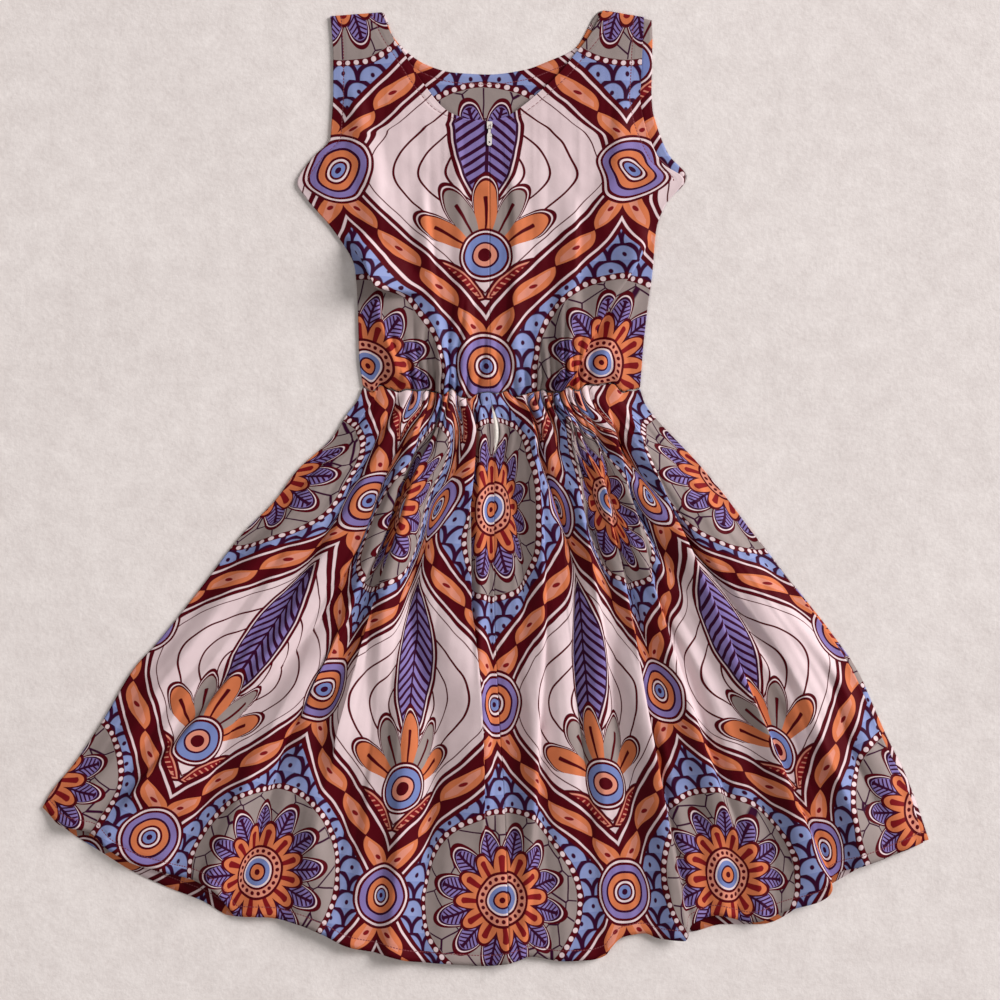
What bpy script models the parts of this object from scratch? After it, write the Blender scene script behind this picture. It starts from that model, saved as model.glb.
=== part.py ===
"""Sleeveless dress with a gathered skirt, laid flat with its centre-back zip up.

+X is to the right and +Y towards the neck, seen from above; +Z is up from the surface that the
dress lies on. The origin is on that surface, in the middle of the dress.
Tables are in millimetres, everything else in metres.
"""

import math

import bmesh
import bpy
import numpy as np
from mathutils import Matrix

MM = 0.001

# Thickness of the cloth and the gap that two pieces keep at a seam
CLOTH = 1.2 * MM
GAP = 0.3 * MM
SEAM = 0.25 * MM

# The front pieces lie on the surface, and the back pieces start one gap above them
FRONT_Z = 0.0
BACK_Z = FRONT_Z + CLOTH + GAP

# Zip: tape under the centre-back seam, slider just below the neck, pull tab hanging from its bar
TAPE_WIDTH = 20 * MM
TAPE_THICK = 0.8 * MM
TAPE_TOP = 381 * MM
TAPE_END = -6 * MM
HINGE_Y = 377.5 * MM
PLATE_WIDTH, PLATE_LENGTH, PLATE_THICK = 5.8 * MM, 4.6 * MM, 1.2 * MM
PLATE_ABOVE_HINGE = 4.2 * MM
CHEEK_WIDTH, CHEEK_LENGTH, CHEEK_HEIGHT = 1.0 * MM, 5.6 * MM, 2.6 * MM
CHEEK_GAP = 3.2 * MM
CHEEK_BELOW_HINGE = 1.2 * MM
METAL_EDGE = 0.2 * MM
BAR_RADIUS = 0.5 * MM
EYE_BORE, EYE_RADIUS, EYE_WIDTH = 0.8 * MM, 1.3 * MM, 2.2 * MM
TAB_LENGTH, TAB_WIDTH, TAB_THICK = 19 * MM, 5.0 * MM, 1.0 * MM
TAB_NECK_WIDTH, TAB_NECK_LENGTH, TAB_SHOULDER = 2.6 * MM, 5.0 * MM, 2.4 * MM
TAB_HOLE_RADIUS, TAB_HOLE_AT = 0.9 * MM, 15.2 * MM
TAB_RAISED = 0.15 * MM
TAB_END_STEPS = 12

# The back pieces stand this far off the front pieces: over the zip tape, and where air is caught
TAPE_LOFT = TAPE_THICK + GAP + 0.5 * MM
TAPE_REACH = 16 * MM
TAPE_FADE = 14 * MM
WAIST_LOFT = 1.6 * MM
BODICE_LOFT, BODICE_LOFT_FULL = 3.0 * MM, 30 * MM
SKIRT_LOFT = 4.5 * MM
LOFT_FADE = 34 * MM
SEAM_STILL = 12 * MM

# Share of the skirt's loft at the hem, and how far down the skirt it is full and starts to fall
HEM_LOFT_SHARE, LOFT_FULL_AT, LOFT_FALLS_FROM = 0.45, 0.10, 0.25

# Waist seam, from the left side to the right
WAIST_Y = 103 * MM
WAIST_LEFT, WAIST_RIGHT = -133 * MM, 158 * MM
WAIST_WIDTH = WAIST_RIGHT - WAIST_LEFT

# The straps lie flat: above this height the bodice comes down to this share of its loft
STRAP_START, STRAP_FADE, STRAP_SHARE = 400 * MM, 80 * MM, 0.15

# Left back bodice from shoulder to waist: armhole and side edge, then neck and centre-back edge
LEFT_BODICE = np.array([
    # outer_x, outer_y, inner_x, inner_y
    (-167, 495, -113, 499),
    (-165, 472, -102, 474),
    (-164, 449, -88, 453),
    (-164, 418, -67, 421),
    (-165, 395, -45, 396),
    (-166, 380, -24, 387),
    (-167, 367, -1, 384),
    (-187, 345, 0, 355),
    (-202, 320, 0, 326),
    (-193, 305, 0, 302),
    (-162, 268, 0, 262),
    (-141, 229, 0, 227),
    (-138, 181, 0, 181),
    (-137, 140, 0, 140),
    (-133, 104, 0, 103),
]) * MM

# Right back bodice, with the same columns
RIGHT_BODICE = np.array([
    # outer_x, outer_y, inner_x, inner_y
    (162, 494, 119, 501),
    (161, 470, 106, 476),
    (160, 452, 91, 457),
    (159, 430, 74, 436),
    (158, 410, 53, 416),
    (160, 395, 34, 400),
    (164, 378, 17, 389),
    (170, 362, 1, 384),
    (181, 341, 0, 357),
    (204, 323, 0, 328),
    (184, 296, 0, 302),
    (175, 271, 0, 269),
    (171, 227, 0, 227),
    (165, 182, 0, 181),
    (161, 144, 0, 143),
    (158, 104, 0, 103),
]) * MM

# The centre-back edges of the bodice start below this height, and the neck edge above it
NECK_CORNER_Y = 384.5 * MM

# Front bodice: neck edge from the left strap to the right one, and the right armhole, which ends
# at this row of the right bodice's side edge
FRONT_NECK = np.array([
    # x, y
    (-113, 499), (-102, 475), (-87, 458), (-66, 444), (-38, 436), (0, 434),
    (37, 439), (62, 448), (89, 461), (119, 501),
]) * MM
FRONT_ARMHOLE = np.array([
    # x, y
    (170, 491), (171, 470), (170, 416), (171, 398), (175, 382), (188, 350), (207, 326),
]) * MM

UNDERARM_ROW = 9

# The front pieces end this far inside the side edges of the back ones
FRONT_INSET = 1.2 * MM

# Skirt, from the waist to the hem: the two side edges and the centre-back seam
LEFT_SIDE = np.array([
    # x, y
    (-133, 102), (-138, 91), (-150, 76), (-163, 55), (-203, 17), (-224, -12), (-259, -48),
    (-303, -105), (-351, -165), (-372, -188), (-404, -241), (-435, -288), (-460, -319), (-469, -335),
]) * MM
RIGHT_SIDE = np.array([
    # x, y
    (158, 102), (163, 88), (177, 70), (196, 50), (216, 29), (243, -3), (273, -43), (315, -98),
    (354, -150), (381, -192), (398, -229), (413, -264), (430, -298), (444, -330), (455, -372),
]) * MM
CENTRE_SEAM = np.array([
    # x, y
    (0, 102), (3, 80), (5, 50), (5, 0), (5, -118), (9, -220), (16, -340), (21, -498),
]) * MM

# The seam parts over the end of the zip, and shows its tape, between these two heights
PART_TOP, PART_END, PART_WIDTH = 97 * MM, 26 * MM, 5.5 * MM

# Hem of the back skirt from left to right, uneven where the folds lie over each other
LEFT_HEM = np.array([
    # x, y
    (-469, -335), (-450, -353), (-418, -362), (-403, -376), (-374, -394), (-342, -403),
    (-314, -410), (-292, -421), (-277, -437), (-266, -449), (-234, -450), (-201, -457),
    (-177, -467), (-150, -480), (-109, -489), (-81, -496), (-41, -499), (-6, -501), (21, -498),
]) * MM
RIGHT_HEM = np.array([
    # x, y
    (21, -498), (43, -491), (74, -496), (104, -495), (121, -490), (128, -481), (139, -471),
    (163, -467), (177, -472), (200, -474), (208, -460), (238, -448), (275, -455), (311, -443),
    (340, -434), (350, -426), (358, -408), (393, -395), (420, -386), (455, -372),
]) * MM

# Hem of the front skirt, which shows a little past the back one
FRONT_HEM = np.array([
    # x, y
    (-466, -336), (-440, -360), (-403, -384), (-374, -402), (-335, -420), (-299, -434),
    (-268, -450), (-199, -452), (-115, -484), (-6, -495), (95, -486), (137, -466),
    (211, -466), (245, -458), (284, -458), (353, -419), (422, -382), (461, -369),
]) * MM
FRONT_RIGHT_SIDE = np.array([
    # x, y
    (158, 102), (163, 87), (177, 69), (196, 49), (216, 28), (243, -4), (274, -44), (317, -99),
    (358, -151), (387, -193), (403, -229), (418, -263), (435, -297), (448, -330), (461, -369),
]) * MM

# Folds: a crest runs through three points; it rises over left and drops over right, or the other
# way round, and the steep side lies over its neighbour. Heights are at its top and low ends,
# and fade_top and fade_low say over what length it dies away there, 0 where it runs off the hem.
FOLD_COLUMNS = (
    "top_x", "top_y", "mid_x", "mid_y", "low_x", "low_y",
    "left", "right", "top_h", "low_h", "fade_top", "fade_low",
)
SKIRT_FOLDS = np.array([
    (-27, 77, -30, -76, -14, -380, 46, 12, 9, 11, 40, 110),
    (-56, 50, -97, -69, -158, -286, 13, 40, 9, 12, 50, 80),
    (-72, 78, -118, -34, -186, -223, 14, 30, 8, 9, 40, 60),
    (-92, 84, -170, -66, -251, -212, 16, 34, 6, 8, 40, 60),
    (-236, -150, -298, -238, -372, -330, 16, 46, 6, 10, 60, 30),
    (-150, 50, -251, -76, -340, -190, 20, 26, 4, 5, 50, 60),
    (-252, -262, -281, -359, -308, -440, 34, 30, 5, 14, 60, 0),
    (-196, -220, -186, -359, -173, -469, 34, 26, 4, 8, 60, 0),
    (-54, -150, -84, -317, -99, -492, 28, 34, 4, 10, 70, 0),
    (-9, 88, -12, -118, -6, -330, 15, 14, 5, 5, 30, 90),
    (33, 92, 46, -181, 30, -490, 26, 12, 8, 9, 30, 0),
    (78, 80, 96, -55, 116, -200, 24, 13, 8, 10, 40, 70),
    (104, 60, 152, -212, 205, -476, 30, 12, 7, 14, 60, 0),
    (120, 78, 168, -118, 252, -364, 34, 13, 8, 9, 40, 60),
    (146, 70, 240, -160, 355, -428, 36, 13, 7, 14, 50, 0),
    (206, 18, 304, -112, 379, -218, 15, 15, 6, 8, 50, 50),
    (262, -150, 332, -250, 402, -392, 30, 30, 4, 7, 70, 0),
]) * MM
BODICE_FOLDS = np.array([
    (-152, 268, -104, 194, -66, 112, 15, 52, 8, 8, 34, 20),
    (172, 268, 123, 203, 77, 108, 52, 15, 8, 8, 34, 20),
    (-150, 420, -128, 345, -112, 262, 30, 26, 3, 3, 60, 60),
    (148, 420, 136, 350, 118, 268, 26, 30, 3, 3, 60, 60),
    (-34, 360, -30, 250, -24, 130, 22, 14, 2, 3, 60, 60),
    (22, 345, 30, 240, 22, 128, 14, 24, 2, 3, 60, 60),
]) * MM
LEAN = 0.75
TOP_WIDTH = 0.6

# Gathers on each side of the waist seam: a row of small ridges, shorter up the bodice. Their
# spacing and their length sway along the waist, and they are higher where they crowd.
GATHERS = 26
GATHER_SWAY, GATHER_SWAY_RATE, GATHER_SWAY_START = 0.55, 9.0, 0.7
LENGTH_SWAY, LENGTH_SWAY_RATE = 0.45, 31.0
GATHER_CALM = 0.35
GATHER_CROWDS = (
    # place across the waist, spread, added height
    (0.27, 0.15, 0.65),
    (0.70, 0.15, 0.65),
)
GATHER_AT_SEAM = 2.0 * MM
SKIRT_GATHER, SKIRT_GATHER_PEAK, SKIRT_GATHER_LENGTH = 4.2 * MM, 12 * MM, 75 * MM
BODICE_GATHER, BODICE_GATHER_PEAK, BODICE_GATHER_LENGTH = 2.4 * MM, 8 * MM, 42 * MM

# Grid of each back piece, across and down; the skirt's rows are closer together at the waist
BODICE_GRID = (32, 24)
SKIRT_GRID = (46, 22)
SKIRT_ROW_POWER = 1.35
OUTLINE_STEP = 17 * MM

COLOURS = {
    # name: base colour, roughness, metallic
    "print_cloth": ((0.42, 0.17, 0.15, 1.0), 0.75, 0.0),
    "zip_tape": ((0.80, 0.76, 0.72, 1.0), 0.80, 0.0),
    "zip_metal": ((0.78, 0.77, 0.75, 1.0), 0.35, 0.9),
}


def clear_scene():
    for old in list(bpy.data.objects):
        bpy.data.objects.remove(old, do_unlink=True)


def material(name):
    found = bpy.data.materials.get(name)
    if found:
        return found
    colour, roughness, metallic = COLOURS[name]
    made = bpy.data.materials.new(name)
    made.use_nodes = True
    shader = made.node_tree.nodes["Principled BSDF"]
    shader.inputs["Base Color"].default_value = colour
    shader.inputs["Roughness"].default_value = roughness
    shader.inputs["Metallic"].default_value = metallic
    return made


def smoothstep(value):
    t = np.clip(value, 0.0, 1.0)
    return t * t * (3.0 - 2.0 * t)


def chord(points):
    """How far along each point lies, from 0 to 1."""
    steps = np.hypot(*np.diff(points, axis=0).T)
    return np.concatenate([[0.0], np.cumsum(steps)]) / steps.sum()


def smooth_curve(knots, points, t):
    """A curve through the points that keeps to them without swinging past their corners."""
    step = np.diff(knots)[:, None]
    slope = np.diff(points, axis=0) / step
    before, after = slope[:-1], slope[1:]
    w_before, w_after = 2 * step[1:] + step[:-1], step[1:] + 2 * step[:-1]
    turns = before * after <= 0
    safe_before, safe_after = np.where(turns, 1.0, before), np.where(turns, 1.0, after)
    inner = (w_before + w_after) / (w_before / safe_before + w_after / safe_after)
    tangent = np.vstack([slope[:1], np.where(turns, 0.0, inner), slope[-1:]])
    t = np.clip(np.asarray(t, float), 0.0, 1.0)
    at = np.clip(np.searchsorted(knots, t, side="right") - 1, 0, len(step) - 1)
    width = step[at, 0]
    s = ((t - knots[at]) / width)[..., None]
    width = width[..., None]
    return (
        (1 + 2 * s) * (1 - s) ** 2 * points[at]
        + s * (1 - s) ** 2 * width * tangent[at]
        + s * s * (3 - 2 * s) * points[at + 1]
        + s * s * (s - 1) * width * tangent[at + 1]
    )


def coons(first, second, top, bottom, u, v):
    """Points between four edges: first at u 0, second at u 1, top at v 0 and bottom at v 1."""
    u, v = u[:, None], v[:, None]
    corners = (
        (1 - u) * (1 - v) * top(0.0) + u * (1 - v) * top(1.0)
        + (1 - u) * v * bottom(0.0) + u * v * bottom(1.0)
    )
    across = (1 - u) * first(v[:, 0]) + u * second(v[:, 0])
    down = (1 - v) * top(u[:, 0]) + v * bottom(u[:, 0])
    return across + down - corners


def fold(x, y, row):
    """Height of one fold at each place, and how far its crest leans over its steep side."""
    f = dict(zip(FOLD_COLUMNS, row))
    span = f["top_y"] - f["low_y"]
    t = (f["top_y"] - y) / span
    mid = (f["top_y"] - f["mid_y"]) / span
    bow = (f["mid_x"] - f["top_x"] - mid * (f["low_x"] - f["top_x"])) / (mid * (mid - 1))
    inside = np.clip(t, 0.0, 1.0)
    crest = f["top_x"] + inside * (f["low_x"] - f["top_x"]) + bow * inside * (inside - 1)
    slope = (f["low_x"] - f["top_x"] + bow * (2 * inside - 1)) / span
    crest = crest + slope * (t - inside) * span
    across = (x - crest) / np.sqrt(1 + slope**2)
    widen = TOP_WIDTH + (1 - TOP_WIDTH) * inside
    width = np.where(across < 0, f["left"], f["right"]) * widen
    height = f["top_h"] + (f["low_h"] - f["top_h"]) * inside
    fade = smoothstep((f["top_y"] + f["fade_top"] * 0.5 - y) / f["fade_top"])
    if f["fade_low"] > 0:
        fade = fade * smoothstep((y - f["low_y"] + f["fade_low"] * 0.5) / f["fade_low"])
    rise = height * fade * smoothstep(1 - np.abs(across) / width)
    lean = LEAN * rise * (f["left"] - f["right"]) / (f["left"] + f["right"])
    return rise, lean


def gather(across, y):
    """Height of the gathers at a place across the waist, 0 to 1, on either side of the seam."""
    sway = GATHER_SWAY * np.sin(GATHER_SWAY_RATE * across + GATHER_SWAY_START)
    ridge = np.cos(math.pi * (GATHERS * across + sway)) ** 2
    crowd = GATHER_CALM
    for place, spread, added in GATHER_CROWDS:
        crowd = crowd + added * np.exp(-(((across - place) / spread) ** 2))
    below, above = WAIST_Y - y, y - WAIST_Y
    reach = SKIRT_GATHER_LENGTH * (1 + LENGTH_SWAY * np.sin(LENGTH_SWAY_RATE * across))
    skirt = SKIRT_GATHER * smoothstep(below / SKIRT_GATHER_PEAK)
    skirt = skirt * (1 - smoothstep((below - SKIRT_GATHER_PEAK) / reach))
    bodice = BODICE_GATHER * smoothstep(above / BODICE_GATHER_PEAK)
    bodice = bodice * (1 - smoothstep((above - BODICE_GATHER_PEAK) / BODICE_GATHER_LENGTH))
    seam = GATHER_AT_SEAM * np.exp(-(((y - WAIST_Y) / SKIRT_GATHER_PEAK) ** 2))
    return ridge * crowd * (skirt + bodice + seam)


def drape(x, y, edge, across, folds, loft):
    """Height above the front pieces, and the sideways lean, at each place of a back piece.

    edge is the distance from the piece's own side, where it comes down to the front piece.
    """
    side = smoothstep(edge / LOFT_FADE)
    rise = np.zeros_like(x)
    lean = np.zeros_like(x)
    for row in folds:
        one, shift = fold(x, y, row)
        rise = rise + one
        lean = lean + shift
    over_tape = TAPE_LOFT * (1 - smoothstep((np.abs(x) - TAPE_REACH) / TAPE_FADE))
    still = smoothstep(np.abs(x - seam_x(y)) / SEAM_STILL)
    height = np.maximum(over_tape, side * loft) + side * rise + gather(across, y) * side
    return height, lean * side * still


def seam_x(y):
    """Where the centre-back seam is at a given height."""
    order = np.argsort(CENTRE_SEAM[:, 1])
    return np.interp(y, CENTRE_SEAM[order, 1], CENTRE_SEAM[order, 0])


def parting(y):
    """How far the right skirt piece is drawn back from the seam over the end of the zip."""
    t = (PART_TOP - y) / (PART_TOP - PART_END)
    return PART_WIDTH * np.where((t > 0) & (t < 1), np.sin(math.pi * np.clip(t, 0, 1)) ** 2, 0.0)


def place_grid(name, columns, rows, place, thickness, colour, row_power=1.0):
    """A grid of cloth whose corners are placed by a function of u and v, given its thickness."""
    bm = bmesh.new()
    bmesh.ops.create_grid(bm, x_segments=columns, y_segments=rows, size=1.0)
    flat = np.array([v.co[:2] for v in bm.verts]) * 0.5 + 0.5
    points = place(flat[:, 0], np.clip(flat[:, 1], 0.0, 1.0) ** row_power)
    for vert, point in zip(bm.verts, points):
        vert.co = point
    bm.normal_update()
    if sum(face.normal.z for face in bm.faces) < 0:
        bmesh.ops.reverse_faces(bm, faces=bm.faces)
    return finish_mesh(name, bm, thickness, colour)


def finish_mesh(name, bm, thickness, colour):
    mesh = bpy.data.meshes.new(name)
    bm.to_mesh(mesh)
    bm.free()
    piece = bpy.data.objects.new(name, mesh)
    bpy.context.scene.collection.objects.link(piece)
    mesh.materials.append(material(colour))
    if thickness:
        wall = piece.modifiers.new("cloth", "SOLIDIFY")
        wall.thickness = thickness
        wall.offset = -1.0
        wall.use_rim = True
    mesh.shade_smooth()
    mesh.set_sharp_from_angle(angle=math.radians(50))
    return piece


def bodice_back(name, table, side):
    """One half of the back bodice: rows from the shoulder to the waist between its two edges."""
    outer, inner = table[:, :2].copy(), table[:, 2:].copy()
    inner[inner[:, 1] < NECK_CORNER_Y, 0] += side * SEAM
    knots = (chord(outer) + chord(inner)) / 2
    low_edge = WAIST_Y + SEAM

    def place(u, v):
        a, b = smooth_curve(knots, outer, v), smooth_curve(knots, inner, v)
        flat = a + (b - a) * u[:, None]
        x, y = flat[:, 0], np.maximum(flat[:, 1], low_edge)
        edge = u * np.hypot(*(b - a).T)
        across = (x - WAIST_LEFT) / WAIST_WIDTH
        flatten = 1 - (1 - STRAP_SHARE) * smoothstep((y - STRAP_START) / STRAP_FADE)
        full = smoothstep((y - WAIST_Y) / BODICE_LOFT_FULL)
        loft = WAIST_LOFT + (BODICE_LOFT - WAIST_LOFT) * full
        height, lean = drape(x, y, edge, across, BODICE_FOLDS, loft)
        return np.stack([x + lean, y, BACK_Z + CLOTH + height * flatten], axis=1)

    return place_grid(name, *BODICE_GRID, place, CLOTH, "print_cloth")


def skirt_back(name, side):
    """One half of the back skirt, fanned out from the waist to its uneven hem."""
    outer = LEFT_SIDE if side < 0 else RIGHT_SIDE
    hem = LEFT_HEM if side < 0 else RIGHT_HEM[::-1]
    top_y = WAIST_Y - SEAM
    waist = np.array([outer[0], CENTRE_SEAM[0]])

    def place(u, v):
        def seam(t):
            points = smooth_curve(chord(CENTRE_SEAM), CENTRE_SEAM, t)
            points[:, 0] += side * SEAM + (parting(points[:, 1]) if side > 0 else 0.0)
            return points

        flat = coons(
            lambda t: smooth_curve(chord(outer), outer, t),
            seam,
            lambda t: smooth_curve(np.array([0.0, 1.0]), waist, np.atleast_1d(t)),
            lambda t: smooth_curve(chord(hem), hem, np.atleast_1d(t)),
            u, v,
        )
        x, y = flat[:, 0], np.minimum(flat[:, 1], top_y)
        edge_point = smooth_curve(chord(outer), outer, v)
        edge = np.hypot(x - edge_point[:, 0], y - edge_point[:, 1])
        share = abs(outer[0, 0]) / WAIST_WIDTH
        across = u * share if side < 0 else 1 - u * share
        height, lean = drape(x, y, edge, across, SKIRT_FOLDS, skirt_loft(v))
        return np.stack([x + lean, y, BACK_Z + CLOTH + height], axis=1)

    return place_grid(name, *SKIRT_GRID, place, CLOTH, "print_cloth", row_power=SKIRT_ROW_POWER)


def skirt_loft(v):
    """Height of the caught air down the skirt: drawn in at the waist, fullest just below it."""
    fills = (SKIRT_LOFT - WAIST_LOFT) * smoothstep(v / LOFT_FULL_AT)
    falls = SKIRT_LOFT * (1 - HEM_LOFT_SHARE) * smoothstep((v - LOFT_FALLS_FROM) / (1 - LOFT_FALLS_FROM))
    return WAIST_LOFT + fills - falls


def flat_piece(name, outline, z, thickness, colour):
    """A piece that lies flat: its outline filled and given its thickness upwards."""
    bm = bmesh.new()
    ring = [bm.verts.new((x, y, z + thickness)) for x, y in outline]
    face = bm.faces.new(ring)
    face.normal_update()
    if face.normal.z < 0:
        face.normal_flip()
    bmesh.ops.triangulate(bm, faces=[face], ngon_method="EAR_CLIP")
    return finish_mesh(name, bm, thickness, colour)


def traced(points):
    """Points along a smooth curve, one to each step of its length."""
    count = math.ceil(np.hypot(*np.diff(points, axis=0).T).sum() / OUTLINE_STEP) + 1
    return smooth_curve(chord(points), points, np.linspace(0, 1, count))


def bodice_front():
    """The front bodice, flat underneath, with two straps round the scooped neck."""
    inset = np.array([FRONT_INSET, 0.0])
    left = traced(LEFT_BODICE[:, :2]) + inset
    right_side = RIGHT_BODICE[UNDERARM_ROW:, :2] - inset
    right = np.vstack([traced(FRONT_ARMHOLE)[:-1], traced(right_side)])
    neck = traced(FRONT_NECK)
    left[-1, 1] = right[-1, 1] = WAIST_Y + SEAM
    outline = np.vstack([left[::-1], neck, right])
    return flat_piece("bodice_front", outline, FRONT_Z, CLOTH, "print_cloth")


def skirt_front():
    """The front skirt, flat underneath, with its hem a little past the back one."""
    left = traced(LEFT_SIDE) + np.array([FRONT_INSET, 0.0])
    right = traced(FRONT_RIGHT_SIDE)
    left[0, 1] = right[0, 1] = WAIST_Y - SEAM
    hem = traced(FRONT_HEM)
    outline = np.vstack([left[:-1], hem, right[:-1][::-1]])
    return flat_piece("skirt_front", outline, FRONT_Z, CLOTH, "print_cloth")


def zip_tape():
    half = TAPE_WIDTH / 2
    outline = [(-half, TAPE_END), (half, TAPE_END), (half, TAPE_TOP), (-half, TAPE_TOP)]
    return flat_piece("zip_tape", outline, BACK_Z, TAPE_THICK, "zip_tape")


def block(name, size, centre):
    """A box with its edges rounded off."""
    bm = bmesh.new()
    bmesh.ops.create_cube(bm, size=1.0)
    bmesh.ops.scale(bm, vec=size, verts=bm.verts)
    bmesh.ops.bevel(
        bm, geom=list(bm.edges), offset=METAL_EDGE, segments=1, profile=0.5,
        affect="EDGES", material=-1,
    )
    bmesh.ops.translate(bm, vec=centre, verts=bm.verts)
    return finish_mesh(name, bm, None, "zip_metal")


def rod(name, radius, length, centre, along, sides=20):
    """A round rod along X or Z."""
    bm = bmesh.new()
    bmesh.ops.create_cone(
        bm, cap_ends=True, segments=sides, radius1=radius, radius2=radius, depth=length
    )
    if along == "X":
        bmesh.ops.rotate(bm, matrix=Matrix.Rotation(math.pi / 2, 3, "Y"), verts=bm.verts)
    bmesh.ops.translate(bm, vec=centre, verts=bm.verts)
    return finish_mesh(name, bm, None, "zip_metal")


def combine(piece, other, operation):
    """Joins another shape to the piece, or cuts it out, and keeps it only as a guide."""
    step = piece.modifiers.new(other.name, "BOOLEAN")
    step.operation = operation
    step.object = other
    other.hide_render = True
    other.display_type = "WIRE"


def hinge_height():
    """The bar lies above the cloth by the eye's radius and a gap."""
    return BACK_Z + CLOTH + BODICE_LOFT + GAP + EYE_RADIUS + GAP


def zip_slider():
    """A plate on the seam, with two cheeks that hold the bar of the pull tab."""
    base = BACK_Z + CLOTH + BODICE_LOFT + GAP
    plate_y = HINGE_Y + PLATE_ABOVE_HINGE
    slider = block(
        "zip_slider", (PLATE_WIDTH, PLATE_LENGTH, PLATE_THICK), (0.0, plate_y, base + PLATE_THICK / 2)
    )
    cheek_y = HINGE_Y + CHEEK_LENGTH / 2 - CHEEK_BELOW_HINGE
    cheek_x = (CHEEK_GAP + CHEEK_WIDTH) / 2
    for label, side in (("left", -1), ("right", 1)):
        cheek = block(
            f"slider_cheek_{label}",
            (CHEEK_WIDTH, CHEEK_LENGTH, CHEEK_HEIGHT),
            (side * cheek_x, cheek_y, base + CHEEK_HEIGHT / 2),
        )
        combine(slider, cheek, "UNION")
    bar = rod(
        "slider_bar", BAR_RADIUS, CHEEK_GAP + CHEEK_WIDTH, (0.0, HINGE_Y, hinge_height()), "X", 12
    )
    combine(slider, bar, "UNION")


def zip_tab():
    """The pull tab: an eye round the bar, a narrow neck and a rounded end with a small hole."""
    bm = bmesh.new()
    z = hinge_height() - EYE_RADIUS + TAB_RAISED
    end_y = HINGE_Y - TAB_LENGTH + TAB_WIDTH / 2
    half_neck, half = TAB_NECK_WIDTH / 2, TAB_WIDTH / 2
    turn = [math.pi * k / TAB_END_STEPS for k in range(TAB_END_STEPS + 1)]
    neck_y = HINGE_Y - TAB_NECK_LENGTH
    right = [(half_neck, HINGE_Y - EYE_BORE - METAL_EDGE), (half_neck, neck_y), (half, neck_y - TAB_SHOULDER)]
    round_end = [(half * math.cos(a), end_y - half * math.sin(a)) for a in turn]
    left = [(-x, y) for x, y in reversed(right)]
    outline = right + round_end + left
    face = bm.faces.new([bm.verts.new((x, y, z)) for x, y in outline])
    face.normal_update()
    if face.normal.z > 0:
        face.normal_flip()
    raised = bmesh.ops.extrude_face_region(bm, geom=[face])
    corners = [part for part in raised["geom"] if isinstance(part, bmesh.types.BMVert)]
    bmesh.ops.translate(bm, vec=(0.0, 0.0, TAB_THICK), verts=corners)
    bmesh.ops.recalc_face_normals(bm, faces=bm.faces)
    tab = finish_mesh("zip_tab", bm, None, "zip_metal")
    pivot = (0.0, HINGE_Y, hinge_height())
    combine(tab, rod("tab_eye", EYE_RADIUS, EYE_WIDTH, pivot, "X"), "UNION")
    combine(tab, rod("tab_bore", EYE_BORE, 2 * EYE_WIDTH, pivot, "X"), "DIFFERENCE")
    hole = (0.0, HINGE_Y - TAB_HOLE_AT, z)
    combine(tab, rod("tab_hole", TAB_HOLE_RADIUS, 6 * TAB_THICK, hole, "Z"), "DIFFERENCE")


def main():
    clear_scene()
    bodice_front()
    skirt_front()
    zip_tape()
    zip_slider()
    zip_tab()
    bodice_back("bodice_back_left", LEFT_BODICE, -1)
    bodice_back("bodice_back_right", RIGHT_BODICE, 1)
    skirt_back("skirt_back_left", -1)
    skirt_back("skirt_back_right", 1)


main()
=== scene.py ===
"""Sleeveless wax print dress with a gathered skirt, laid flat on a pale floor with its back zip up."""

import math

import bmesh
import bpy
import numpy as np
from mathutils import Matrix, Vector


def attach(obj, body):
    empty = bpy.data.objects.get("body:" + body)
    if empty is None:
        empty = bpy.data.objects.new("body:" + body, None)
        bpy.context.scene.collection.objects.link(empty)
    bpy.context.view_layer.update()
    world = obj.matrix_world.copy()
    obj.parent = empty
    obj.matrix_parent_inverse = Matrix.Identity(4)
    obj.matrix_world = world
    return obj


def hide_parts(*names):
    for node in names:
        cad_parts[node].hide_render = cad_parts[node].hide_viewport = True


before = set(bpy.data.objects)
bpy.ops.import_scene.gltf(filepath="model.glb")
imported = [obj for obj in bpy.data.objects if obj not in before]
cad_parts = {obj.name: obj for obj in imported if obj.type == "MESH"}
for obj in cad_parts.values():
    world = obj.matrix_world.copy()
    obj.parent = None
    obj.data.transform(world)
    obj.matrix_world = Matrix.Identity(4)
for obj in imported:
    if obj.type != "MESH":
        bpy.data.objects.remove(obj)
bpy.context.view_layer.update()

MM = 0.001


# Camera: straight above the dress, as the photograph was taken. It is far enough up, with a long
# lens, that the folds keep their places.
CAMERA_HEIGHT = 3.0
VIEW_WIDTH = 1050 * MM
lens = bpy.data.cameras.new("camera")
lens.sensor_width = 36.0
lens.lens = 36.0 * CAMERA_HEIGHT / VIEW_WIDTH
camera = bpy.data.objects.new("camera", lens)
camera.location = (11.0 * MM, -12.6 * MM, CAMERA_HEIGHT)
bpy.context.scene.collection.objects.link(camera)
bpy.context.scene.camera = camera


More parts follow.
